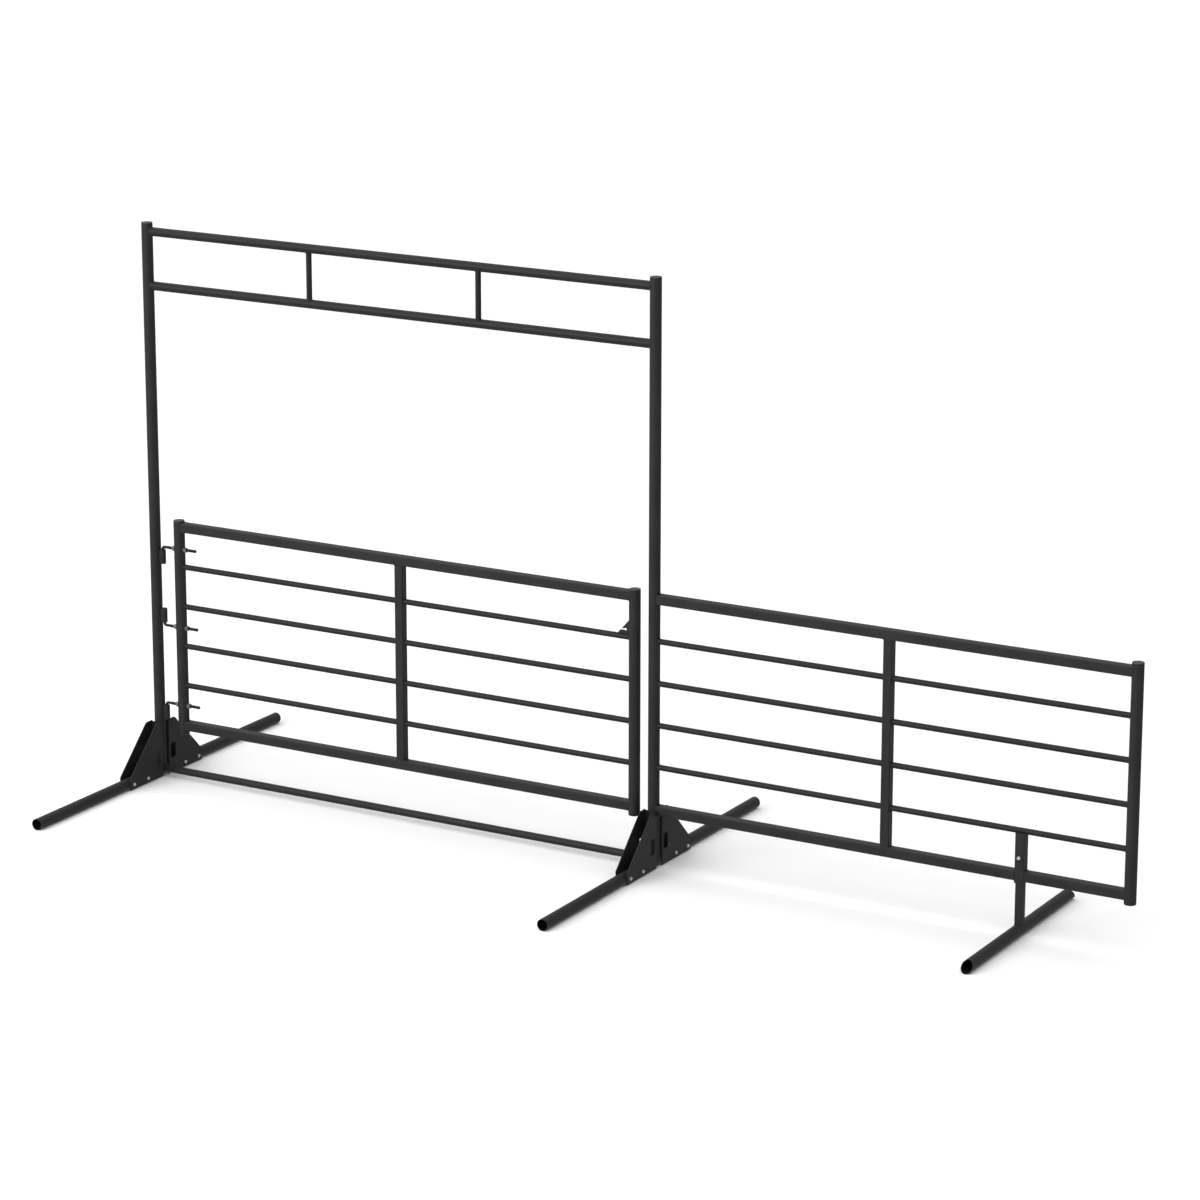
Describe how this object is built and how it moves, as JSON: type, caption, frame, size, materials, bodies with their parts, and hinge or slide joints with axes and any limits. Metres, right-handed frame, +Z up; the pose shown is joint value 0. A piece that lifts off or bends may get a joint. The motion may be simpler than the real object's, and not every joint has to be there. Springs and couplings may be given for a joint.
{
  "type": "livestock panel gate",
  "caption": "Free-standing livestock gate: tall goal-post frame with a swinging barred leaf, fixed side panel, skid feet and an adjustable end leg.",
  "frame": {"origin": "on the ground under the axis of the hinge post", "axes": "+X along the panel from hinge post to end post, +Y from front to rear, +Z up"},
  "size_m": [4.6021, 1.776, 2.4425],
  "materials": {
    "powder_coat": "satin",
    "galvanised_fasteners": "satin",
    "end_caps": "satin"
  },
  "bodies": {
    "frame": {"end_post": "powder_coat", "end_post_caps": "end_caps", "foot_bolts": "galvanised_fasteners", "foot_nuts": "galvanised_fasteners", "header_lower_rail": "powder_coat", "header_spacer_left": "powder_coat", "header_spacer_right": "powder_coat", "header_top_rail": "powder_coat", "hinge_bush_lower": "powder_coat", "hinge_bush_middle": "powder_coat", "hinge_bush_upper": "powder_coat", "hinge_foot_front_gusset": "powder_coat", "hinge_foot_rear_gusset": "powder_coat", "hinge_foot_skid": "powder_coat", "hinge_post": "powder_coat", "hinge_post_cap": "end_caps", "latch_foot_front_gusset": "powder_coat", "latch_foot_rear_gusset": "powder_coat", "latch_foot_skid": "powder_coat", "latch_post": "powder_coat", "latch_post_cap": "end_caps", "leg_clamp_screw": "galvanised_fasteners", "leg_sleeve": "powder_coat", "panel_bottom_rail_left": "powder_coat", "panel_bottom_rail_right": "powder_coat", "panel_slim_rail_1_left": "powder_coat", "panel_slim_rail_1_right": "powder_coat", "panel_slim_rail_2_left": "powder_coat", "panel_slim_rail_2_right": "powder_coat", "panel_slim_rail_3_left": "powder_coat", "panel_slim_rail_3_right": "powder_coat", "panel_slim_rail_4_left": "powder_coat", "panel_slim_rail_4_right": "powder_coat", "panel_stay": "powder_coat", "panel_top_rail": "powder_coat", "threshold_bar": "powder_coat"},
    "leaf": {"chain_slot_plate": "powder_coat", "hinge_bolt_lower": "powder_coat", "hinge_bolt_middle": "powder_coat", "hinge_bolt_upper": "powder_coat", "hinge_nuts": "galvanised_fasteners", "hinge_washers": "galvanised_fasteners", "leaf_bottom_caps": "end_caps", "leaf_bottom_rail": "powder_coat", "leaf_hinge_stile": "powder_coat", "leaf_latch_stile": "powder_coat", "leaf_slim_rail_1_left": "powder_coat", "leaf_slim_rail_1_right": "powder_coat", "leaf_slim_rail_2_left": "powder_coat", "leaf_slim_rail_2_right": "powder_coat", "leaf_slim_rail_3_left": "powder_coat", "leaf_slim_rail_3_right": "powder_coat", "leaf_slim_rail_4_left": "powder_coat", "leaf_slim_rail_4_right": "powder_coat", "leaf_stay": "powder_coat", "leaf_top_caps": "end_caps", "leaf_top_rail": "powder_coat"},
    "end_leg": {"leg_tube": "powder_coat", "leg_skid": "powder_coat"}
  },
  "joints": [
    {"name": "leaf_swing", "type": "hinge", "parent": "frame", "child": "leaf", "pos_m": [0.0376, 0, 0.683], "axis": [0, 0, 1], "range_deg": [-78, 78]},
    {"name": "leg_slide", "type": "slide", "parent": "frame", "child": "end_leg", "axis": [0, 0, 1], "range_m": [-0.045, 0.035]}
  ]
}
